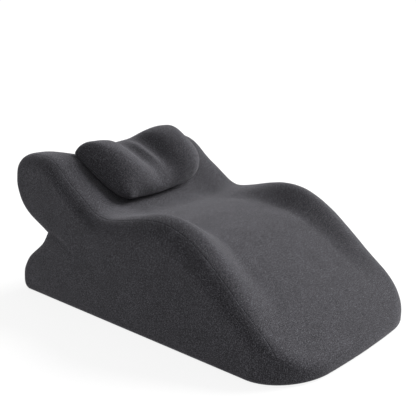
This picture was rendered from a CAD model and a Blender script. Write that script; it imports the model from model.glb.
import math

import bmesh
import bpy
import numpy as np
from mathutils import Matrix, Vector, noise
from mathutils.geometry import delaunay_2d_cdt


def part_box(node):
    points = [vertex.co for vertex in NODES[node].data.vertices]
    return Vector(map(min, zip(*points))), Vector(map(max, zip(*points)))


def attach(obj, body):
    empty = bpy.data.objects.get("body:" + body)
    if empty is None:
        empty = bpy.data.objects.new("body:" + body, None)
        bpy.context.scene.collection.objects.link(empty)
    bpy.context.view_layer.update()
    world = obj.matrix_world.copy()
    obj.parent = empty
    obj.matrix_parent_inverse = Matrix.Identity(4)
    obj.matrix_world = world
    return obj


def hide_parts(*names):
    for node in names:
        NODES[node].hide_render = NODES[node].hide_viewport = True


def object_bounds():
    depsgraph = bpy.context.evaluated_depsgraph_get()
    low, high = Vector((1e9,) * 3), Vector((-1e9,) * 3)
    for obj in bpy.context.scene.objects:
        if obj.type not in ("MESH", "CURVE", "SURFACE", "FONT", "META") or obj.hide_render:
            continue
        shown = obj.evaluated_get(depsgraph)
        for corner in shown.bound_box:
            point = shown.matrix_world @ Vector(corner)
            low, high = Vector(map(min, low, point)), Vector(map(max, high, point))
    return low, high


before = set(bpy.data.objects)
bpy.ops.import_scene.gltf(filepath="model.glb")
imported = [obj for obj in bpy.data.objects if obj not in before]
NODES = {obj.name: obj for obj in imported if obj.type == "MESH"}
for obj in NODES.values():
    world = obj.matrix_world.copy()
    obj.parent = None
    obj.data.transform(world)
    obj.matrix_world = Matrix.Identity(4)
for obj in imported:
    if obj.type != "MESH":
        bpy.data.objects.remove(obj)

# Looks for a contoured foam lounger in a knitted cover, with a butterfly neck pillow.
# Shapes are worked out in millimetres, as distances from the foot end and heights above
# the floor, and become metres in mesh_object().

CAD_BOX = [list(corner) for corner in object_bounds()]
MM = 0.001

# ---------------------------------------------------------------- sizes of the lounger
CAD_LOW, CAD_HIGH = (Vector(c) / MM for c in CAD_BOX)
HALF = (CAD_HIGH.x - CAD_LOW.x) / 2
FOOT_Y = CAD_LOW.y
LENGTH = CAD_HIGH.y - CAD_LOW.y
SEAM_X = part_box("cover_top_panel")[1].x / MM
FLOOR_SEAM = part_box("cover_floor_panel")[1].z / MM

# Height of the two side rims: (from the foot end, height).
RIM = [
    (0, 30), (40, 60), (80, 93), (120, 127), (160, 163), (200, 201), (240, 238),
    (280, 272), (320, 300), (360, 322), (400, 334), (440, 338), (500, 331), (560, 316),
    (615, 303), (660, 297), (700, 304), (735, 324), (770, 348), (805, 370), (840, 396),
    (870, 421), (895, 434), (930, 441), (965, 441),
]
# How far the trough's middle lies below the rims, and half the width of its flat floor.
TROUGH_DEPTH = [
    (0, 0), (60, 1), (120, 5), (206, 22), (302, 39), (378, 51), (433, 52), (498, 40),
    (558, 28), (615, 20), (660, 18), (700, 20), (760, 25), (820, 32), (880, 37), (965, 36),
]
TROUGH_FLAT = [
    (0, 200), (100, 190), (206, 178), (378, 160), (498, 150), (615, 125), (830, 115),
    (900, 85), (965, 60),
]
RIM_CREST_X = 268.0  # the rims are highest here
# The head lobe's back: (from the foot end, height, edge radius, trough depth).
HEAD_BACK = [
    (965, 441, 50, 36), (1000, 438, 46, 33), (1027, 429, 42, 27), (1045, 414, 38, 18),
    (1055, 396, 34, 10), (1060, 372, 32, 4), (1061, 345, 30, 0), (1052, 306, 30, 0),
    (1033, 273, 30, 0), (991, 242, 28, 0), (946, 222, 26, 0), (914, 208, 24, 0),
]
BACK_SEAM_POINT = 6  # the back panel starts at this point of HEAD_BACK
# The base's back: (from the foot end, height, edge radius).
BASE_BACK = [
    (914, 208, 24), (924, 194, 24), (946, 170, 26), (975, 147, 28), (1000, 129, 28),
    (1024, 109, 28), (1041, 85, 27), (1049, 66, 25), (1050, 52, 22), (1050, 38, 20),
    (1048, 22, 17), (1040, 8, 14), (1024, 0, 12),
]
HEAD_RADIUS, FLOOR_RADIUS = 50.0, 12.0  # outer edge of the head lobe, and bottom edge
# Radius of the top's outer edge: (from the foot end, radius).
EDGE_RADIUS = [
    (0, 14), (60, 24), (130, 48), (220, 68), (330, 78), (450, 76), (560, 62), (660, 52), (760, 50)
]
CORNER_X, CORNER_Y = 163.0, 122.0  # size of the plan corners at the foot end
FOOT_BOW = 18.0  # the foot end bows out by this much in the middle
# Where the slices have control points: shares of the way to NEAR_FOOT_END, then distances.
NEAR_FOOT = [0, 0.004, 0.012, 0.03, 0.06, 0.11, 0.18, 0.28, 0.42, 0.6, 0.8, 1.0]
NEAR_FOOT_END = 300.0
TOP_STATIONS = [340, 380, 420, 460, 500, 545, 590, 635, 675, 710, 745, 780, 815, 850, 880, 910, 940]

# ---------------------------------------------------------------- sizes of the pillow
PILLOW_HALF = 205.0
PILLOW_X, PILLOW_ALONG = 8.0, 842.0  # its middle lies on the trough's floor here
PILLOW_TILT, PILLOW_LEAN, PILLOW_TURN = 27.7, -2.5, 4.8  # degrees about X, Y and Z
PILLOW_CORNERS = (40.0, 95.0)  # plan corner radii of its -X and +X ends
PILLOW_EDGES = (42.0, 105.0)  # its ends are rounded by this much at its upper and its lower edge
PILLOW_EDGE = 55.0  # the underside's ends are rounded by this much
PILLOW_DEEP = 8.0  # the underside bulges this far into the slope, which then shapes it
PILLOW_LENGTH = [(-205, 128), (-130, 121), (-65, 124), (0, 125), (65, 124), (130, 118), (205, 119)]
PILLOW_THICK = [(0, 65), (35, 67), (80, 92), (133, 110), (205, 106)]
PILLOW_RIM = [(0, 11), (96, 13), (150, 22), (205, 42)]
# The ridge along its middle, and the hollow on each side of it.
NECK_RIDGE, NECK_RIDGE_WIDTH = 6.5, 20.0
NECK_HOLLOW, NECK_HOLLOW_X, NECK_HOLLOW_WIDTH = 6.0, 43.0, 26.0
PILLOW_CLEARANCE = 3.6  # the pillow's back keeps this far off the slope
FOAM_INSIDE = 4.5  # the pillow's foam stays this far inside its cover

# ---------------------------------------------------------------- sewing
PANEL = 1.3  # thickness of the cover's panels
GROOVE, GROOVE_WIDTH = 0.4, 1.2  # how far the seams pull the panels in
CREASE = [(914, 208), (876, 212), (824, 194), (773, 172)]  # fold that runs from the notch along the side
CREASE_DEPTH, CREASE_WIDTH = 2.6, 9.0
CELL = 5.0  # usual size of a mesh cell
LIP = 0.1  # the cloth stands up by this much beside a seam
BACK_FROM, BASE_FROM = 900.0, 1000.0  # the back panel and the zip lie beyond these distances
WAVE, WAVE_SIZES = 0.55, (70.0, 28.0)  # height and lengths of the cover's soft unevenness
PILLOW_WAVE, PILLOW_WAVE_SIZES = 0.6, (60.0, 23.0)
RIM_GROOVE, RIM_GROOVE_WIDTH = 1.0, 1.6  # how far the pillow's rim seam pulls in
RIM_LIP, RIM_LIP_AT, RIM_LIP_WIDTH = 0.5, 4.0, 2.5

# ---------------------------------------------------------------- sizes of the zips
# Coils and stitches have the cover zip's sizes here, and are PILLOW_ZIP_SCALE of that on the pillow.
# TAPE_GAP and COIL_MARGIN are the same on both.
COVER_ZIP_LENGTH, PILLOW_ZIP_LENGTH, PILLOW_ZIP_SCALE = 520.0, 130.0, 0.75
PILLOW_ZIP_HALF = 71.0  # half the length of its slot
PILLOW_ZIP_EDGE = 6.7  # half the width of its slot
PILLOW_ZIP_UP = 24.0  # height of the zip's middle in the pillow's own frame
PILLOW_ZIP_REACH = 25.0  # the slot lies within this distance of the pillow's upper edge
PILLOW_ZIP_SUNK, PILLOW_ZIP_FACE = 1.6, -0.45  # its depth, and where its coils' seat lies
TAPE_GAP = 0.7  # half the gap between the two tapes
COIL_PITCH, COIL_MARGIN, COIL_STEPS = 1.5, 3.4, 9
COIL_REACH, COIL_TALL, COIL_INSET, COIL_RADIUS = 1.2, 1.0, 0.42, 0.40
STITCH_ROWS, STITCH_MARGIN = (4.3, 6.6), 5  # the rows' distances from a tape's inner edge
STITCH_PITCH, STITCH_LENGTH, STITCH_TALL, STITCH_RADIUS = 3.4, 2.4, 0.35, 0.26

# ---------------------------------------------------------------- studio
FLOOR_GLOW = 0.86  # the light table under the lounger
FLOOR_REACH, FLOOR_DROP = 60.0, 0.0005  # metres
SKY, BACKDROP = 0.5, 1.05  # how bright the studio lights the object, and how bright it looks
KEY_STRENGTH, KEY_SOFTNESS = 6.2, 40.0  # the key's spread is in degrees
KEY_FROM = Vector((0.78, -0.24, 0.58))
CAMERA_AZIMUTH, CAMERA_ELEVATION = -48.111, 14.433
CAMERA_DISTANCE, CAMERA_LENS, CAMERA_SENSOR = 2.0005, 58.29, 36.0
CAMERA_TARGET = Vector((0.0002, 0.01285, 0.28806))


# ---------------------------------------------------------------- curves
def spline_rows(at, where):
    """The matrix that turns values at the knots into a natural cubic spline's values."""
    at = np.asarray(at, float)
    count = len(at)
    gap = np.diff(at)
    system = np.eye(count)
    right = np.zeros((count, count))
    for i in range(1, count - 1):
        system[i, i - 1 : i + 2] = gap[i - 1], 2 * (gap[i - 1] + gap[i]), gap[i]
        right[i, i - 1 : i + 2] = 6 / gap[i - 1], -6 / gap[i - 1] - 6 / gap[i], 6 / gap[i]
    bend = np.linalg.solve(system, right)
    where = np.clip(np.asarray(where, float), at[0], at[-1])
    i = np.clip(np.searchsorted(at, where, side="right") - 1, 0, count - 2)
    h, before, after = gap[i], at[i + 1] - where, where - at[i]
    rows = bend[i] * (before**3 / (6 * h) - h * before / 6)[:, None]
    rows += bend[i + 1] * (after**3 / (6 * h) - h * after / 6)[:, None]
    rows[np.arange(len(where)), i] += before / h
    rows[np.arange(len(where)), i + 1] += after / h
    return rows


def profile(points):
    """A function that passes smoothly through (position, value) points."""
    at, value = np.array(points, float).T
    return lambda x: (spline_rows(at, np.ravel(x)) @ value).reshape(np.shape(x))


rim_height = profile(RIM)
trough_depth = profile(TROUGH_DEPTH)
trough_flat = profile(TROUGH_FLAT)
edge_radius = profile(EDGE_RADIUS)
pillow_length = profile(PILLOW_LENGTH)
pillow_thick = profile(PILLOW_THICK)
pillow_rim = profile(PILLOW_RIM)


def smoothstep(t):
    t = np.clip(t, 0, 1)
    return t * t * (3 - 2 * t)


def edge_drop(inside, radius):
    """How far a rounded edge has fallen at this distance inside the wall it rounds into."""
    inside = np.clip(inside, 0, radius)
    return radius - np.sqrt(np.maximum(radius**2 - (radius - inside) ** 2, 0))


def trough_share(x, along):
    flat = trough_flat(along)
    return 1 - smoothstep((np.abs(x) - flat) / (RIM_CREST_X - flat))


def crown(x, along):
    """Height of the top before its edges are rounded."""
    return rim_height(along) - trough_depth(along) * trough_share(x, along)


def foot_line(x):
    """Where the foot end begins, as a distance from the foot end."""
    across = np.maximum(np.abs(x) - (HALF - CORNER_X), 0) / CORNER_X
    bow = FOOT_BOW * (x / HALF) ** 2
    return bow + CORNER_Y * (1 - np.sqrt(np.maximum(1 - across**2, 0)))


def wall_distance(x, along):
    """Distance inside the vertical wall, measured in plan."""
    across = np.maximum(np.abs(x) - (HALF - CORNER_X), 0)
    back = np.maximum(CORNER_Y + FOOT_BOW * (x / HALF) ** 2 - along, 0)
    rho = np.hypot(across / CORNER_X, back / CORNER_Y)
    slope = np.hypot(across / CORNER_X**2, back / CORNER_Y**2)
    return np.where(slope > 1e-9, (1 - rho) * rho / np.maximum(slope, 1e-9), 1e3)


def top_height(x, along):
    return crown(x, along) - edge_drop(wall_distance(x, along), edge_radius(along))


def outward(points):
    """Mitred outward normals of an open polyline whose outside is on its left."""
    run = np.diff(np.array(points, float), axis=0)
    run /= np.linalg.norm(run, axis=1)[:, None]
    side = np.stack([-run[:, 1], run[:, 0]], axis=1)
    normals = [side[0]]
    for before, after in zip(side, side[1:]):
        normals.append((before + after) / (1 + before @ after))
    normals.append(side[-1])
    return np.array(normals)


BACK_NORMALS = outward([p[:2] for p in HEAD_BACK[:-1]] + [p[:2] for p in BASE_BACK])


# ---------------------------------------------------------------- slices of the body
def slices(x):
    """Control points of every slice: over the top, down the back, and round the toe.

    x is an array, and each result has one row of (from the foot end, height) per x.
    """
    across = np.abs(x)[:, None]
    start = foot_line(x)[:, None]
    side = HALF - across
    near = start + np.array(NEAR_FOOT) * (NEAR_FOOT_END - start)
    along = np.hstack([near, np.tile(np.array(TOP_STATIONS, float), (len(x), 1))])
    height = top_height(np.repeat(across, along.shape[1], 1), along)
    head = np.array(HEAD_BACK, float)
    spread = trough_share(np.repeat(across, len(head), 1), np.tile(head[:, 0], (len(x), 1)))
    inward = edge_drop(side, head[:, 2]) + head[:, 3] * spread
    normals = BACK_NORMALS[: len(head)]
    top = np.stack(
        [
            np.hstack([along, head[:, 0] - normals[:, 0] * inward]),
            np.hstack([height, head[:, 1] - normals[:, 1] * inward]),
        ],
        axis=2,
    )
    base = np.array(BASE_BACK[1:], float)
    normals = BACK_NORMALS[len(head) :]
    inward = edge_drop(side, base[:, 2])
    back = np.stack([base[:, 0] - normals[:, 0] * inward, base[:, 1] - normals[:, 1] * inward], axis=2)
    back[:, -1, 0] = BASE_BACK[-1][0]
    back[:, -1, 1] = edge_drop(side[:, 0], FLOOR_RADIUS)
    back = np.concatenate([top[:, -1:], back], axis=1)
    step = 0.5
    lean = (foot_line(across[:, 0]) - foot_line(across[:, 0] - step)) / step
    stretch = np.minimum(np.hypot(1, lean), 4.0)[:, None]
    angle = np.radians([0, 22.5, 45, 67.5, 90])
    toe_along = start + stretch * FLOOR_RADIUS * (1 - np.sin(angle))
    toe_height = edge_drop(wall_distance(np.repeat(across, 5, 1), toe_along), FLOOR_RADIUS)
    return top, back, np.stack([toe_along, toe_height], axis=2)


def chord_shares(points):
    steps = np.linalg.norm(np.diff(points, axis=0), axis=1)
    return np.concatenate([[0], np.cumsum(steps)]) / steps.sum()


def even(low, high, size):
    """Evenly spaced values from low to high, about size apart."""
    return np.linspace(low, high, max(int(round((high - low) / size)), 1) + 1)


def near(values, centre, spread):
    """The values, with more of them close to centre."""
    extra = centre + spread * np.array([-3.2, -2, -1.2, -0.6, -0.25, 0, 0.25, 0.6, 1.2, 2, 3.2])
    kept = values[np.abs(values - centre) > spread * 3.6]
    return np.sort(np.concatenate([kept, extra]))


def stations_across():
    """Places of the slices, closer together at the side seams and round the outer edge."""
    half = near(even(0, HALF - HEAD_RADIUS + 14, CELL * 1.15), SEAM_X, 2.4)
    half = half[half <= SEAM_X + 8]
    start = math.degrees(math.asin((half[-1] - (HALF - HEAD_RADIUS)) / HEAD_RADIUS))
    outer = HALF - HEAD_RADIUS + HEAD_RADIUS * np.sin(np.radians(np.linspace(start, 90, 12)[1:]))
    half = np.concatenate([half, outer])
    half[np.argmin(np.abs(half - ZIP_HALF))] = ZIP_HALF
    return np.concatenate([-half[:0:-1], half])


def body_grid():
    """The body's skin as closed rings of (x, along, height), one for each station across."""
    x = stations_across()
    middle = [curve[0] for curve in slices(np.array([0.0]))]
    size = [np.linalg.norm(np.diff(c, axis=0), axis=1).sum() for c in middle]
    shares = [chord_shares(c) for c in middle]
    seam = shares[0][len(NEAR_FOOT) + len(TOP_STATIONS) + BACK_SEAM_POINT] * size[0]
    where = [
        near(even(0, size[0], CELL), seam, 2.4) / size[0],
        even(0, size[1], 3.5) / size[1],
        even(0, 1, 0.1),
    ]
    top, back, toe = [
        np.einsum("rk,xkc->xrc", spline_rows(s, w), points)
        for s, w, points in zip(shares, where, slices(x))
    ]
    ground = np.linspace(0, 1, 61)[1:-1, None]
    floor = back[:, -1:, :] * (1 - ground) + toe[:, :1, :] * ground
    ring = np.concatenate([top, back[:, 1:], floor, toe[:, :-1]], axis=1)
    grid = np.empty(ring.shape[:2] + (3,))
    grid[..., 0] = x[:, None]
    grid[..., 1:] = ring
    return grid


# ---------------------------------------------------------------- meshes
def mesh_object(name, verts, faces, material):
    """A smooth mesh object from points in millimetres, in the frame."""
    mesh = bpy.data.meshes.new(name)
    mesh.from_pydata([tuple(v) for v in np.asarray(verts, float) * MM], [], faces)
    mesh.update()
    mesh.polygons.foreach_set("use_smooth", [True] * len(mesh.polygons))
    made = bpy.data.objects.new(name, mesh)
    bpy.context.scene.collection.objects.link(made)
    mesh.materials.append(material)
    return made


def thicken(obj, thickness):
    """Gives an open panel a thickness inwards."""
    solid = obj.modifiers.new("thickness", "SOLIDIFY")
    solid.thickness = thickness * MM
    solid.offset = -1
    depsgraph = bpy.context.evaluated_depsgraph_get()
    mesh = bpy.data.meshes.new_from_object(obj.evaluated_get(depsgraph))
    obj.modifiers.clear()
    old = obj.data
    obj.data = mesh
    mesh.name = obj.name
    bpy.data.meshes.remove(old)


def weave_attribute(obj, place):
    """Coordinates along the cloth, in metres, which the knit's stitches follow."""
    co = np.empty(len(obj.data.vertices) * 3)
    obj.data.vertices.foreach_get("co", co)
    data = obj.data.attributes.new("weave", "FLOAT_VECTOR", "POINT")
    data.data.foreach_set("vector", place(co.reshape(-1, 3)).astype(np.float32).ravel())


def tube(points, radius, sides, start=0):
    """Vertices and faces of a tube along points, capped at both ends and numbered from start."""
    points = np.asarray(points, float)
    run = np.gradient(points, axis=0)
    run /= np.maximum(np.linalg.norm(run, axis=1), 1e-9)[:, None]
    helper = np.array([0.31, 0.17, 0.93])  # any direction that no tube runs along
    first = np.cross(run, helper)
    first /= np.maximum(np.linalg.norm(first, axis=1), 1e-9)[:, None]
    second = np.cross(run, first)
    angle = 2 * np.pi * np.arange(sides) / sides
    ring = np.cos(angle)[None, :, None] * first[:, None] + np.sin(angle)[None, :, None] * second[:, None]
    verts = (points[:, None] + radius * ring).reshape(-1, 3)
    faces = []
    count = len(points)
    for i in range(count - 1):
        for j in range(sides):
            a, b = start + i * sides + j, start + i * sides + (j + 1) % sides
            faces.append((a, b, b + sides, a + sides))
    faces.append(tuple(start + j for j in reversed(range(sides))))
    faces.append(tuple(start + (count - 1) * sides + j for j in range(sides)))
    return verts, faces


def tubes(paths, radius, sides):
    """Several tubes in one list of vertices and faces."""
    verts, faces, count = [], [], 0
    for path in paths:
        v, f = tube(path, radius, sides, count)
        verts.append(v)
        faces += f
        count += len(v)
    return np.vstack(verts), faces


# ---------------------------------------------------------------- materials
def material(name):
    made = bpy.data.materials.new(name)
    made.use_nodes = True
    tree = made.node_tree
    tree.nodes.clear()
    out = tree.nodes.new("ShaderNodeOutputMaterial")
    shader = tree.nodes.new("ShaderNodeBsdfPrincipled")
    tree.links.new(shader.outputs["BSDF"], out.inputs["Surface"])
    return made, tree, shader


def noise_node(tree, coordinates, scale, detail=3.0, roughness=0.6):
    node = tree.nodes.new("ShaderNodeTexNoise")
    node.inputs["Scale"].default_value = scale
    node.inputs["Detail"].default_value = detail
    node.inputs["Roughness"].default_value = roughness
    tree.links.new(coordinates, node.inputs["Vector"])
    return node.outputs["Fac"]


def ramp_node(tree, value, stops):
    node = tree.nodes.new("ShaderNodeValToRGB")
    ramp = node.color_ramp
    while len(ramp.elements) < len(stops):
        ramp.elements.new(0.5)
    for element, (place, colour) in zip(ramp.elements, stops):
        element.position = place
        element.color = (*colour, 1)
    tree.links.new(value, node.inputs["Fac"])
    return node.outputs["Color"]


def maths(tree, kind, first, second=None):
    node = tree.nodes.new("ShaderNodeMath")
    node.operation = kind
    for socket, value in zip(node.inputs, (first, second)):
        if value is None:
            continue
        if isinstance(value, (int, float)):
            socket.default_value = value
        else:
            tree.links.new(value, socket)
    return node.outputs[0]


def mix_colours(tree, share, first, second, kind="MIX"):
    node = tree.nodes.new("ShaderNodeMix")
    node.data_type = "RGBA"
    node.blend_type = kind
    node.inputs[0].default_value = share
    tree.links.new(first, node.inputs[6])
    tree.links.new(second, node.inputs[7])
    return node.outputs[2]


def bump_node(tree, height, distance, strength, below=None):
    node = tree.nodes.new("ShaderNodeBump")
    node.inputs["Strength"].default_value = strength
    node.inputs["Distance"].default_value = distance
    tree.links.new(height, node.inputs["Height"])
    if below is not None:
        tree.links.new(below, node.inputs["Normal"])
    return node.outputs["Normal"]


def object_coordinates(tree):
    return tree.nodes.new("ShaderNodeTexCoord").outputs["Object"]


def stitches(tree, wale, course):
    """Height of jersey stitches: rows of small Vs, wale by course metres each."""
    source = tree.nodes.new("ShaderNodeAttribute")
    source.attribute_name = "weave"
    parts = tree.nodes.new("ShaderNodeSeparateXYZ")
    tree.links.new(source.outputs["Vector"], parts.inputs[0])
    across = maths(tree, "MULTIPLY", parts.outputs[0], 1 / wale)
    vee = maths(tree, "ABSOLUTE", maths(tree, "SUBTRACT", maths(tree, "FRACT", across), 0.5))
    row = maths(tree, "MULTIPLY", parts.outputs[1], 1 / course)
    along = maths(tree, "ADD", row, maths(tree, "MULTIPLY", vee, 1.1))
    rows = maths(tree, "SINE", maths(tree, "MULTIPLY", along, 2 * math.pi))
    ribs = maths(tree, "SINE", maths(tree, "MULTIPLY", vee, 2 * math.pi))
    return maths(tree, "ADD", maths(tree, "MULTIPLY", rows, 0.25), maths(tree, "MULTIPLY", ribs, 0.5))


def knit_material():
    """Dark charcoal melange knit with a brushed, fuzzy face."""
    made, tree, shader = material("knit")
    place = object_coordinates(tree)
    fibre = noise_node(tree, place, 390, 4, 0.72)
    melange = ramp_node(
        tree,
        fibre,
        [(0.36, (0.006, 0.006, 0.007)), (0.52, (0.033, 0.032, 0.037)), (0.68, (0.112, 0.110, 0.124))],
    )
    cloud = noise_node(tree, place, 17, 2, 0.5)
    patch = ramp_node(tree, cloud, [(0.3, (0.90,) * 3), (0.7, (1.08,) * 3)])
    colour = mix_colours(tree, 1.0, melange, patch, "MULTIPLY")
    loops = stitches(tree, 0.0021, 0.0017)
    shade = ramp_node(tree, loops, [(0.0, (0.82, 0.82, 0.82)), (0.6, (1.08, 1.08, 1.08))])
    tree.links.new(mix_colours(tree, 0.8, colour, shade, "MULTIPLY"), shader.inputs["Base Color"])
    shader.inputs["Roughness"].default_value = 0.95
    shader.inputs["Specular IOR Level"].default_value = 0.18
    shader.inputs["Sheen Weight"].default_value = 0.22
    shader.inputs["Sheen Roughness"].default_value = 0.42
    shader.inputs["Sheen Tint"].default_value = (0.62, 0.61, 0.66, 1)
    normal = bump_node(tree, loops, 0.00035, 0.5)
    fuzz = noise_node(tree, place, 700, 3, 0.7)
    normal = bump_node(tree, fuzz, 0.0006, 0.55, normal)
    tree.links.new(bump_node(tree, fibre, 0.0009, 0.5, normal), shader.inputs["Normal"])
    return made


def cloth_material(name, dark, light, scale, sheen, bump=0.0004, roughness=0.9):
    """A plain woven or pile cloth: two tones of fibre with their own relief."""
    made, tree, shader = material(name)
    place = object_coordinates(tree)
    fibre = noise_node(tree, place, scale, 4, 0.7)
    weave = tree.nodes.new("ShaderNodeTexWave")
    weave.bands_direction = "DIAGONAL"
    weave.inputs["Scale"].default_value = scale * 0.45
    weave.inputs["Distortion"].default_value = 1.2
    tree.links.new(place, weave.inputs["Vector"])
    height = mix_colours(tree, 0.5, fibre, weave.outputs["Fac"])
    tree.links.new(ramp_node(tree, height, [(0.3, dark), (0.7, light)]), shader.inputs["Base Color"])
    shader.inputs["Roughness"].default_value = roughness
    shader.inputs["Specular IOR Level"].default_value = 0.25
    shader.inputs["Sheen Weight"].default_value = sheen
    shader.inputs["Sheen Roughness"].default_value = 0.45
    tree.links.new(bump_node(tree, height, bump, 0.8), shader.inputs["Normal"])
    return made


def foam_material(name, pale, deep):
    """Open-cell foam: pale, with small dark pores."""
    made, tree, shader = material(name)
    place = object_coordinates(tree)
    cells = tree.nodes.new("ShaderNodeTexVoronoi")
    cells.inputs["Scale"].default_value = 900
    tree.links.new(place, cells.inputs["Vector"])
    pores = cells.outputs["Distance"]
    colour = ramp_node(tree, pores, [(0.1, deep), (0.5, pale)])
    cloud = ramp_node(tree, noise_node(tree, place, 12), [(0.3, (0.94, 0.93, 0.9)), (0.7, (1, 1, 1))])
    tree.links.new(mix_colours(tree, 1.0, colour, cloud, "MULTIPLY"), shader.inputs["Base Color"])
    shader.inputs["Roughness"].default_value = 0.9
    tree.links.new(bump_node(tree, pores, 0.0006, 0.7), shader.inputs["Normal"])
    return made


def hard_material(name, colour, roughness, metallic, scuff):
    """Moulded or enamelled hardware with fine scuffs and worn edges."""
    made, tree, shader = material(name)
    place = object_coordinates(tree)
    wear = noise_node(tree, place, 900, 4, 0.75)
    tint = tuple(min(c * scuff, 1) for c in colour)
    tree.links.new(ramp_node(tree, wear, [(0.45, colour), (0.75, tint)]), shader.inputs["Base Color"])
    shader.inputs["Metallic"].default_value = metallic
    rough = ramp_node(tree, wear, [(0.3, (roughness,) * 3), (0.8, (min(roughness + 0.2, 1),) * 3)])
    tree.links.new(rough, shader.inputs["Roughness"])
    tree.links.new(bump_node(tree, wear, 0.00008, 0.6), shader.inputs["Normal"])
    return made


MATERIALS = {
    "knit": knit_material(),
    "floor_cloth": cloth_material("floor_cloth", (0.024, 0.024, 0.027), (0.062, 0.062, 0.068), 600, 0.15),
    "base_foam": foam_material("base_foam", (0.75, 0.72, 0.62), (0.42, 0.38, 0.30)),
    "comfort_foam": foam_material("comfort_foam", (0.86, 0.84, 0.78), (0.60, 0.57, 0.50)),
    "label_cloth": cloth_material(
        "label_cloth", (0.66, 0.66, 0.64), (0.84, 0.84, 0.82), 1500, 0.2, 0.0001, 0.5
    ),
    "hook_and_loop": cloth_material(
        "hook_and_loop", (0.016, 0.016, 0.018), (0.09, 0.09, 0.1), 800, 0.5, 0.0010
    ),
    "zip_cloth": cloth_material(
        "zip_cloth", (0.035, 0.035, 0.040), (0.095, 0.095, 0.104), 1200, 0.15, 0.0002
    ),
    "zip_coil": hard_material("zip_coil", (0.06, 0.06, 0.066), 0.42, 0.0, 1.5),
    "zip_metal": hard_material("zip_metal", (0.12, 0.12, 0.13), 0.32, 0.75, 2.2),
    "thread": cloth_material("thread", (0.05, 0.05, 0.056), (0.15, 0.15, 0.16), 2500, 0.2, 0.0001, 0.7),
    "rubber": hard_material("rubber", (0.022, 0.022, 0.024), 0.7, 0.0, 1.4),
}
MATERIALS["pillow_foam"] = MATERIALS["comfort_foam"]


# ---------------------------------------------------------------- the cover
ZIP_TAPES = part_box("cover_zip_tape_lower")[0].z / MM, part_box("cover_zip_tape_upper")[1].z / MM
ZIP_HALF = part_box("cover_zip_tape_upper")[1].x / MM


def along_of(point):
    return point[1] - FOOT_Y


def skin_bmesh():
    """The whole closed skin of the body: the rings, and the two flat side walls."""
    grid = body_grid()
    count, rows = grid.shape[:2]
    made = bmesh.new()
    verts = [[made.verts.new((x, FOOT_Y + a, h)) for x, a, h in ring] for ring in grid]
    for i in range(count - 1):
        for j in range(rows):
            k = (j + 1) % rows
            made.faces.new((verts[i][j], verts[i][k], verts[i + 1][k], verts[i + 1][j]))
    for end in (0, count - 1):
        add_wall(made, verts[end], grid[end])
    bmesh.ops.recalc_face_normals(made, faces=made.faces)
    return made


def add_wall(made, rim, ring):
    """Fills a side wall inside its rim with an even triangle mesh."""
    outline = ring[:, 1:]
    low, high = outline.min(0), outline.max(0)
    pitch = CELL * 1.1
    points = []
    for row, height in enumerate(np.arange(low[1] + pitch, high[1], pitch * 0.87)):
        for along in np.arange(low[0] + pitch, high[0], pitch):
            points.append((along + (row % 2) * pitch / 2, height))
    points = np.array(points)
    points = points[inside(points, outline) & (distance_to(points, outline, True) > pitch * 0.6)]
    cloud = [Vector(p) for p in outline] + [Vector(p) for p in points]
    edges = [(i, (i + 1) % len(outline)) for i in range(len(outline))]
    made_verts, _, triangles, source, _, _ = delaunay_2d_cdt(cloud, edges, [], 1, 1e-4)
    verts = []
    for place, origin in zip(made_verts, source):
        first = origin[0] if origin else -1
        if 0 <= first < len(rim):
            verts.append(rim[first])
        else:
            verts.append(made.verts.new((ring[0, 0], FOOT_Y + place.x, place.y)))
    for corners in triangles:
        if len({verts[i] for i in corners}) == 3:
            made.faces.new([verts[i] for i in corners])


def inside(points, outline):
    """Which points lie inside a closed outline."""
    x, y = points[:, :1], points[:, 1:]
    a, b = outline, np.roll(outline, -1, 0)
    crosses = (a[:, 1] > y) != (b[:, 1] > y)
    rise = np.where(b[:, 1] == a[:, 1], 1e-12, b[:, 1] - a[:, 1])
    at = a[:, 0] + (y - a[:, 1]) * (b[:, 0] - a[:, 0]) / rise
    return (crosses & (x < at)).sum(1) % 2 == 1


def distance_to(points, line, closed=False):
    """Distance of each point from a polyline, in the plane."""
    line = np.array(line, float)
    a, b = (line, np.roll(line, -1, 0)) if closed else (line[:-1], line[1:])
    run = b - a
    best = np.full(len(points), 1e9)
    for start, step in zip(a, run):
        t = np.clip(((points - start) @ step) / max(step @ step, 1e-9), 0, 1)
        best = np.minimum(best, np.linalg.norm(points - start - t[:, None] * step, axis=1))
    return best


def cut(made, place, normal, wanted):
    """Cuts the mesh along a plane, only through the faces whose middle is wanted."""
    faces = [f for f in made.faces if wanted(f.calc_center_median())]
    geometry = {e for f in faces for e in f.edges} | {v for f in faces for v in f.verts}
    bmesh.ops.bisect_plane(made, geom=faces + list(geometry), plane_co=place, plane_no=normal)


def beside_cover_zip(centre):
    return along_of(centre) > BASE_FROM and centre.z < 100 and abs(centre.x) < SEAM_X


def panel_of(centre):
    """Name of the panel that a face of the skin belongs to, or None inside the zip's slot."""
    x, along, height = abs(centre.x), along_of(centre), centre.z
    if height < FLOOR_SEAM:
        return "knit_floor"
    if x > SEAM_X:
        return "knit_side_left" if centre.x < 0 else "knit_side_right"
    if along > BACK_FROM and height < HEAD_BACK[BACK_SEAM_POINT][1]:
        if x < ZIP_HALF and ZIP_TAPES[0] < height < ZIP_TAPES[1] and along > BASE_FROM:
            return None
        return "knit_back"
    return "knit_top"


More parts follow.
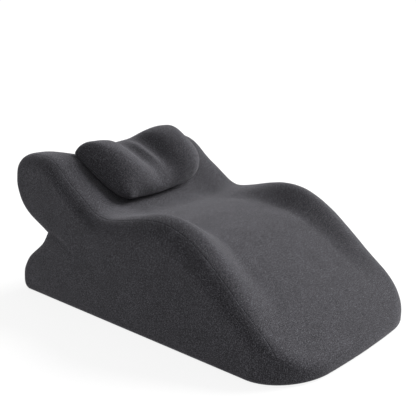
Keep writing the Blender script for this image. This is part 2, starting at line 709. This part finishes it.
def relief(co):
    """How far each point of the skin is drawn in by the seams and the crease."""
    x, along, height = np.abs(co[:, 0]), co[:, 1] - FOOT_Y, co[:, 2]
    pucker = 1 + 0.22 * np.sin(along * 2 * np.pi / 13) * np.sin(height * 2 * np.pi / 17 + 1)
    side = np.where(height > FLOOR_SEAM, np.abs(x - SEAM_X), 1e3)
    floor = np.abs(height - FLOOR_SEAM)
    back = np.where((x < SEAM_X) & (along > BASE_FROM), np.abs(height - HEAD_BACK[BACK_SEAM_POINT][1]), 1e3)
    groove = sum(np.exp(-((d / GROOVE_WIDTH) ** 2)) for d in (side, floor, back))
    inward = GROOVE * pucker * np.minimum(groove, 1)
    lip = sum(np.exp(-(((d - 3 * GROOVE_WIDTH) / (1.6 * GROOVE_WIDTH)) ** 2)) for d in (side, back))
    inward -= LIP * lip
    wall = smoothstep((x - (HALF - 6)) / 5)
    plane = np.stack([along, height], axis=1)
    fold = np.exp(-((distance_to(plane, CREASE) / CREASE_WIDTH) ** 2))
    fade = smoothstep((along - CREASE[-1][0] + 20) / 90)
    inward += CREASE_DEPTH * fold * fade * wall
    return inward


def waves(co, sizes):
    """Slow noise of two wavelengths, the second half as strong."""
    long, short = sizes
    return np.array([noise.noise(Vector(p) / long) + 0.5 * noise.noise(Vector(p) / short) for p in co])


def make_cover():
    """The cover's five panels, cut from one skin so that they meet at the seams."""
    skin = skin_bmesh()
    cut(skin, (0, 0, FLOOR_SEAM), (0, 0, 1), lambda c: abs(c.z - FLOOR_SEAM) < 20)
    for height in ZIP_TAPES:
        cut(skin, (0, 0, height), (0, 0, 1), beside_cover_zip)
    skin.normal_update()
    skin.verts.ensure_lookup_table()
    co = np.array([v.co for v in skin.verts])
    normals = np.array([v.normal for v in skin.verts])
    inward = relief(co) - WAVE * waves(co, WAVE_SIZES) * (co[:, 2] > FLOOR_SEAM)
    moved = co - normals * inward[:, None]
    moved[:, 2] = np.maximum(moved[:, 2], np.where(co[:, 2] < 2, 0.9, 0))
    panels = {}
    index = {v: i for i, v in enumerate(skin.verts)}
    for face in skin.faces:
        name = panel_of(face.calc_center_median())
        if name:
            panels.setdefault(name, []).append([index[v] for v in face.verts])
    skin.free()
    for name, faces in panels.items():
        used = sorted({i for f in faces for i in f})
        renumber = {old: new for new, old in enumerate(used)}
        slot = "floor_cloth" if name == "knit_floor" else "knit"
        obj = mesh_object(name, moved[used], [[renumber[i] for i in f] for f in faces], MATERIALS[slot])
        thicken(obj, PANEL)
        weave_attribute(obj, lambda p, n=name: cloth_place(p, n))
        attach(obj, "lounger")
    for name, node in (
        ("knit_top", "cover_top_panel"),
        ("knit_back", "cover_back_panel"),
        ("knit_side_left", "cover_side_panel_left"),
        ("knit_side_right", "cover_side_panel_right"),
        ("knit_floor", "cover_floor_panel"),
    ):
        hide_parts(node)


def cloth_place(p, name):
    """Where each point lies on its flat panel, so that the stitches run true."""
    out = np.zeros_like(p)
    if name.startswith("knit_side"):
        out[:, 0] = p[:, 1]
        out[:, 1] = p[:, 2] + (HALF * MM - np.abs(p[:, 0]))
        return out
    out[:, 0] = p[:, 0]
    if name == "knit_back":
        out[:, 1] = -p[:, 2] * 1.1 + p[:, 1] * 0.4
        return out
    out[:, 1] = p[:, 1] + 0.35 * p[:, 2]
    return out


def make_floor_dots():
    """Rubber dots on the floor cloth, which stop the lounger sliding."""
    pitch, radius, sides = 15.0, 2.6, 8
    verts, faces = [], []
    angles = 2 * np.pi * np.arange(sides) / sides
    for row, along in enumerate(np.arange(30, LENGTH - 50, pitch * 0.87)):
        for x in np.arange(-HALF + 25, HALF - 25, pitch):
            x += (row % 2) * pitch / 2
            if along < foot_line(np.array(x)) + 22 or abs(x) > HALF - 22:
                continue
            base = len(verts)
            for share, height in ((1.0, 1.2), (0.75, 0.25), (0.3, 0.0)):
                for angle in angles:
                    verts.append(
                        (
                            x + radius * share * math.cos(angle),
                            FOOT_Y + along + radius * share * math.sin(angle),
                            height,
                        )
                    )
            for ring in (0, sides):
                for j in range(sides):
                    k = (j + 1) % sides
                    a, b = base + ring + j, base + ring + k
                    faces.append((a, a + sides, b + sides, b))
            faces.append(tuple(base + 2 * sides + j for j in reversed(range(sides))))
            faces.append(tuple(base + j for j in range(sides)))
    dots = mesh_object("floor_dots", verts, faces, MATERIALS["rubber"])
    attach(dots, "lounger")


# ---------------------------------------------------------------- the pillow
PILLOW_PLACE = (
    Matrix.Translation((PILLOW_X, FOOT_Y + PILLOW_ALONG, float(crown(np.array(0.0), np.array(PILLOW_ALONG)))))
    @ Matrix.Rotation(math.radians(PILLOW_TILT), 4, "X")
    @ Matrix.Rotation(math.radians(PILLOW_LEAN), 4, "Y")
    @ Matrix.Rotation(math.radians(PILLOW_TURN), 4, "Z")
)
PILLOW_MATRIX = np.array(PILLOW_PLACE)


def on_slope(points):
    """Points in the pillow's own frame, moved to their place on the slope."""
    return np.asarray(points, float) @ PILLOW_MATRIX[:3, :3].T + PILLOW_MATRIX[:3, 3]


def neck_relief(x, v):
    ridge = NECK_RIDGE * np.exp(-((x / NECK_RIDGE_WIDTH) ** 2))
    hollow = NECK_HOLLOW * np.exp(-(((np.abs(x) - NECK_HOLLOW_X) / NECK_HOLLOW_WIDTH) ** 2))
    return (ridge - hollow) * (1 - smoothstep((np.abs(v - 15) - 25) / 75))


def pillow_half_length(x):
    radius = np.where(x < 0, *PILLOW_CORNERS)
    return pillow_length(x) - edge_drop(PILLOW_HALF - np.abs(x), radius)


def pillow_surface(face):
    """A grid of the pillow's face or back, from rim to rim, in its own frame."""
    flat = PILLOW_HALF - PILLOW_EDGE
    ends = flat + PILLOW_EDGE * np.sin(np.radians(np.linspace(0, 90, 26)[1:]))
    half = np.concatenate([near(even(0, flat, 4.5), PILLOW_ZIP_HALF, 0.8), ends])
    x = np.concatenate([-half[:0:-1], half])[:, None]
    angle = np.pi * np.linspace(0, 1, 85)[None, :]
    angle = angle - 0.2 * np.sin(2 * angle) / 2
    sweep, lift = -np.cos(angle), np.clip(np.sin(angle), 0, 1)
    v = pillow_half_length(x) * np.sign(sweep) * np.abs(sweep) ** 0.8
    rim = pillow_rim(np.abs(x))
    if face:
        edge = PILLOW_EDGES[1] + (PILLOW_EDGES[0] - PILLOW_EDGES[1]) * smoothstep(0.5 + v / 200)
        past = np.maximum(np.abs(x) - (PILLOW_HALF - edge), 0) / edge
        share = np.sqrt(np.maximum(1 - past**2, 0))
        rise = (pillow_thick(np.abs(x)) - rim) * share
        w = rim + rise * lift**0.85 + neck_relief(x, v) * lift * share
    else:
        past = np.maximum(np.abs(x) - (PILLOW_HALF - PILLOW_EDGE), 0) / PILLOW_EDGE
        w = rim - (rim + PILLOW_DEEP) * np.maximum(1 - past**2, 0) * lift**1.6
    return np.stack([np.broadcast_to(x, v.shape), v, w], axis=2)


def grid_faces(count, rows, flip):
    faces = []
    for i in range(count - 1):
        for j in range(rows - 1):
            a, b = i * rows + j, i * rows + j + 1
            quad = (a, a + rows, b + rows, b)
            faces.append(quad[::-1] if flip else quad)
    return faces


def open_pillow_zip(made, top_edge):
    """Cuts a slot for the zip in the pillow's upper edge."""

    def beside_zip(centre):
        return abs(centre.x) < PILLOW_ZIP_HALF and centre.y > top_edge - PILLOW_ZIP_REACH

    for side in (-1, 1):
        height = PILLOW_ZIP_UP + side * PILLOW_ZIP_EDGE
        cut(made, (0, 0, height), (0, 0, 1), beside_zip)
    middles = [(f, f.calc_center_median()) for f in made.faces]
    slot = [f for f, c in middles if beside_zip(c) and abs(c.z - PILLOW_ZIP_UP) < PILLOW_ZIP_EDGE]
    bmesh.ops.delete(made, geom=slot, context="FACES")


def relieve_pillow(co, normals, top_edge):
    """The pillow's points, pulled in at the rim seam and softly uneven elsewhere."""
    rim = pillow_rim(np.abs(co[:, 0]))
    depth = np.abs(co[:, 2] - rim)
    at_zip = (np.abs(co[:, 0]) < PILLOW_ZIP_HALF + 1) & (co[:, 1] > top_edge - PILLOW_ZIP_REACH)
    groove = RIM_GROOVE * np.exp(-((depth / RIM_GROOVE_WIDTH) ** 2))
    groove = groove - RIM_LIP * np.exp(-(((depth - RIM_LIP_AT) / RIM_LIP_WIDTH) ** 2))
    pucker = 1 + 0.25 * np.sin(co[:, 0] / 2.1) * np.sin(co[:, 1] / 2.1)
    inward = np.where(at_zip, 0.0, groove * pucker) - PILLOW_WAVE * waves(co, PILLOW_WAVE_SIZES)
    outward_dir = co - np.stack([co[:, 0] * 0.93, co[:, 1] * 0.93, rim], axis=1)
    outward_dir[:, 2] = 0
    outward_dir /= np.maximum(np.linalg.norm(outward_dir, axis=1), 1e-6)[:, None]
    near_rim = np.exp(-((depth / 4.0) ** 2))[:, None]
    direction = normals * (1 - near_rim) + outward_dir * near_rim
    return co - direction * inward[:, None]


def lift_off_slope(placed):
    """Keeps the pillow's underside PILLOW_CLEARANCE off the slope."""
    step = 2.0
    along = placed[:, 1] - FOOT_Y
    floor = crown(placed[:, 0], along)
    rise = (crown(placed[:, 0], along + step) - crown(placed[:, 0], along - step)) / (2 * step)
    clear = floor + PILLOW_CLEARANCE * np.sqrt(1 + rise**2)
    placed[:, 2] = np.maximum(placed[:, 2], clear)


def make_pillow():
    """The pillow's face and underside, sewn together at the rim, with a slot for the zip."""
    top_edge = float(pillow_half_length(np.array(0.0)))
    for face, name, node in (
        (True, "pillow_face", "pillow_front_panel"),
        (False, "pillow_underside", "pillow_back_panel"),
    ):
        grid = pillow_surface(face)
        panel = bmesh.new()
        verts = [panel.verts.new(p) for p in grid.reshape(-1, 3)]
        for quad in grid_faces(*grid.shape[:2], not face):
            panel.faces.new([verts[i] for i in quad])
        bmesh.ops.remove_doubles(panel, verts=panel.verts, dist=0.02)
        bmesh.ops.dissolve_degenerate(panel, edges=panel.edges, dist=0.01)
        open_pillow_zip(panel, top_edge)
        panel.normal_update()
        panel.verts.ensure_lookup_table()
        co = np.array([v.co for v in panel.verts])
        normals = np.array([v.normal for v in panel.verts])
        placed = on_slope(relieve_pillow(co, normals, top_edge))
        if not face:
            lift_off_slope(placed)
        index = {v: i for i, v in enumerate(panel.verts)}
        faces = [[index[v] for v in f.verts] for f in panel.faces]
        panel.free()
        obj = mesh_object(name, placed, faces, MATERIALS["knit"])
        thicken(obj, PANEL * 0.8)
        weave_attribute(obj, lambda p: p * np.array([1, 1.1, 0.3]))
        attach(obj, "neck_pillow")
        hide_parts(node)


def make_pillow_core():
    """The pillow's foam, a little smaller than its cover all round."""
    core = bmesh.new()
    for face in (True, False):
        grid = pillow_surface(face)
        verts = [core.verts.new(p) for p in grid.reshape(-1, 3)]
        for quad in grid_faces(*grid.shape[:2], not face):
            core.faces.new([verts[i] for i in quad])
    bmesh.ops.remove_doubles(core, verts=core.verts, dist=0.05)
    bmesh.ops.recalc_face_normals(core, faces=core.faces)
    core.normal_update()
    co = np.array([v.co - v.normal * FOAM_INSIDE for v in core.verts])
    placed = on_slope(co)
    along = placed[:, 1] - FOOT_Y
    clear = crown(placed[:, 0], along) + 1.3 * (PILLOW_CLEARANCE + FOAM_INSIDE)
    placed[:, 2] = np.maximum(placed[:, 2], clear)
    index = {v: i for i, v in enumerate(core.verts)}
    faces = [[index[v] for v in f.verts] for f in core.faces]
    core.free()
    foam = mesh_object("pillow_core", placed, faces, MATERIALS["pillow_foam"])
    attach(foam, "neck_pillow")
    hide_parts("pillow_foam")


# ---------------------------------------------------------------- zips
def zip_frames():
    """Each zip's prefix, body, middle, axes (along, outward, across), scale, length and seat."""
    cover_at = np.array([0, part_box("cover_zip_tape_upper")[1].y / MM, sum(ZIP_TAPES) / 2])
    edge = float(pillow_half_length(np.array(0.0))) - PILLOW_ZIP_SUNK
    pillow_at = on_slope([[0, edge, PILLOW_ZIP_UP]])[0]
    return [
        ("cover_zip", "lounger", cover_at, np.eye(3), 1.0, COVER_ZIP_LENGTH, 0.0),
        (
            "pillow_zip", "neck_pillow", pillow_at, PILLOW_MATRIX[:3, :3],
            PILLOW_ZIP_SCALE, PILLOW_ZIP_LENGTH, PILLOW_ZIP_FACE,
        ),
    ]


def make_coils():
    """Each zip's two rows of coils, wound as one long flattened spring."""
    for prefix, body, middle, axes, size, length, face in zip_frames():
        pitch, turns_end = COIL_PITCH * size, length / 2 - COIL_MARGIN
        turns = int(2 * turns_end / pitch)
        t = np.arange(turns * COIL_STEPS + 1) / COIL_STEPS
        centre = TAPE_GAP + COIL_REACH * size
        reach, tall = COIL_REACH * size - COIL_INSET * size, COIL_TALL * size - COIL_INSET * size
        for side, end in ((1, "upper"), (-1, "lower")):
            angle = 2 * np.pi * t + (np.pi if side < 0 else 0)
            local = np.stack(
                [
                    -turns_end + t * pitch,
                    face + COIL_TALL * size + tall * np.sin(angle),
                    side * (centre + reach * np.cos(angle)),
                ],
                axis=1,
            )
            verts, faces = tube(middle + local @ axes.T, COIL_RADIUS * size, 6)
            coil = mesh_object(f"{prefix}_spring_{end}", verts, faces, MATERIALS["zip_coil"])
            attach(coil, body)
            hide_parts(f"{prefix}_coil_{end}")


def make_zip_stitching():
    """Two rows of lockstitch along each tape."""
    for prefix, body, middle, axes, size, length, face in zip_frames():
        half = length / 2 + STITCH_MARGIN * size
        paths = []
        for side in (-1, 1):
            for away in (TAPE_GAP + row * size for row in STITCH_ROWS):
                for x in np.arange(-half, half, STITCH_PITCH * size):
                    share = np.linspace(0, 1, 5)
                    path = np.stack(
                        [
                            x + STITCH_LENGTH * size * share,
                            face + 0.05 + STITCH_TALL * size * np.sin(np.pi * share),
                            np.full(5, side * away),
                        ],
                        axis=1,
                    )
                    paths.append(middle + path @ axes.T)
        verts, faces = tubes(paths, STITCH_RADIUS * size, 5)
        thread = mesh_object(f"{prefix}_stitching", verts, faces, MATERIALS["thread"])
        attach(thread, body)


def make_label():
    """A folded satin label with a soft curl, tucked into the seam under the zip."""
    low, high = (Vector(c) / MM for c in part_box("care_label"))
    width, height = high.x - low.x, high.z - low.z
    across, down = 15, 19
    verts, faces = [], []
    for layer in (0, 1):
        for i in range(across):
            for j in range(down):
                u, v = i / (across - 1), j / (down - 1)
                curl = 3.4 * v**2 + 0.5 * math.sin(3 * u + 2 * v)
                gap = 0.42 * math.sin(math.pi * min(v * 1.02, 1)) + 0.12
                y = low.y + 0.25 + curl + (gap if layer else 0)
                verts.append((low.x + u * width, y, high.z - v * height))
    half = across * down
    for i in range(across - 1):
        for j in range(down - 1):
            a = i * down + j
            quad = (a, a + 1, a + down + 1, a + down)
            faces.append(quad)
            faces.append(tuple(q + half for q in reversed(quad)))
    rim = [i * down for i in range(across)] + [(across - 1) * down + j for j in range(1, down)]
    rim += [i * down + down - 1 for i in range(across - 2, -1, -1)] + list(range(down - 2, 0, -1))
    for a, b in zip(rim, rim[1:] + rim[:1]):
        faces.append((a, b, b + half, a + half))
    label = mesh_object("seam_label", verts, faces, MATERIALS["label_cloth"])
    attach(label, "lounger")
    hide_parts("care_label")


def finish_cad_nodes():
    """Gives every CAD node that stays in view its material."""
    slots = {
        "base_foam": "base_foam",
        "comfort_foam": "comfort_foam",
        "backrest_loop_tape": "hook_and_loop",
        "pillow_hook_tape": "hook_and_loop",
    }
    for prefix in ("cover_zip", "pillow_zip"):
        for part in ("tape_upper", "tape_lower"):
            slots[f"{prefix}_{part}"] = "zip_cloth"
        for part in ("stops", "slider", "pull"):
            slots[f"{prefix}_{part}"] = "zip_metal"
    for name, slot in slots.items():
        node = NODES[name]
        node.data.materials.clear()
        node.data.materials.append(MATERIALS[slot])


# ---------------------------------------------------------------- stage, lights and camera
def make_stage():
    """A wide pale floor under a white studio."""
    made, tree, shader = material("studio_floor")
    cloud = noise_node(tree, object_coordinates(tree), 3, 2, 0.5)
    tone = ramp_node(tree, cloud, [(0, (0.15,) * 3), (1, (0.17,) * 3)])
    tree.links.new(tone, shader.inputs["Base Color"])
    shader.inputs["Roughness"].default_value = 0.9
    shader.inputs["Specular IOR Level"].default_value = 0.1
    shader.inputs["Emission Color"].default_value = (1, 1, 1, 1)
    shader.inputs["Emission Strength"].default_value = FLOOR_GLOW
    mesh = bpy.data.meshes.new("floor")
    corners = [(FLOOR_REACH * x, FLOOR_REACH * y, 0) for x, y in ((-1, -1), (1, -1), (1, 1), (-1, 1))]
    mesh.from_pydata(corners, [], [(0, 1, 2, 3)])
    mesh.materials.append(made)
    floor = bpy.data.objects.new("floor", mesh)
    floor.location.z = -FLOOR_DROP
    bpy.context.scene.collection.objects.link(floor)


def background_node(tree, strength):
    node = tree.nodes.new("ShaderNodeBackground")
    node.inputs["Color"].default_value = (1, 1, 1, 1)
    node.inputs["Strength"].default_value = strength
    return node.outputs["Background"]


def make_lights():
    """An even white studio with one broad key light from the right."""
    world = bpy.data.worlds.new("studio")
    bpy.context.scene.world = world
    world.use_nodes = True
    tree = world.node_tree
    tree.nodes.clear()
    out = tree.nodes.new("ShaderNodeOutputWorld")
    mix = tree.nodes.new("ShaderNodeMixShader")
    path = tree.nodes.new("ShaderNodeLightPath")
    tree.links.new(path.outputs["Is Camera Ray"], mix.inputs[0])
    tree.links.new(background_node(tree, SKY), mix.inputs[1])
    tree.links.new(background_node(tree, BACKDROP), mix.inputs[2])
    tree.links.new(mix.outputs[0], out.inputs["Surface"])
    light = bpy.data.lights.new("key", "SUN")
    light.energy = KEY_STRENGTH
    light.angle = math.radians(KEY_SOFTNESS)
    lamp = bpy.data.objects.new("key", light)
    lamp.rotation_euler = (-KEY_FROM).to_track_quat("-Z", "Y").to_euler()
    bpy.context.scene.collection.objects.link(lamp)


def make_camera():
    azimuth, elevation = math.radians(CAMERA_AZIMUTH), math.radians(CAMERA_ELEVATION)
    flat = math.cos(elevation)
    back = Vector((math.sin(azimuth) * flat, -math.cos(azimuth) * flat, math.sin(elevation)))
    data = bpy.data.cameras.new("camera")
    data.lens = CAMERA_LENS
    data.sensor_width = CAMERA_SENSOR
    camera = bpy.data.objects.new("camera", data)
    camera.location = CAMERA_TARGET + back * CAMERA_DISTANCE
    camera.rotation_euler = (-back).to_track_quat("-Z", "Y").to_euler()
    bpy.context.scene.collection.objects.link(camera)
    bpy.context.scene.camera = camera
    bpy.context.scene.view_settings.view_transform = "Standard"


make_camera()
make_cover()
make_floor_dots()
make_pillow()
make_pillow_core()
make_coils()
make_zip_stitching()
make_label()
finish_cad_nodes()
make_stage()
make_lights()
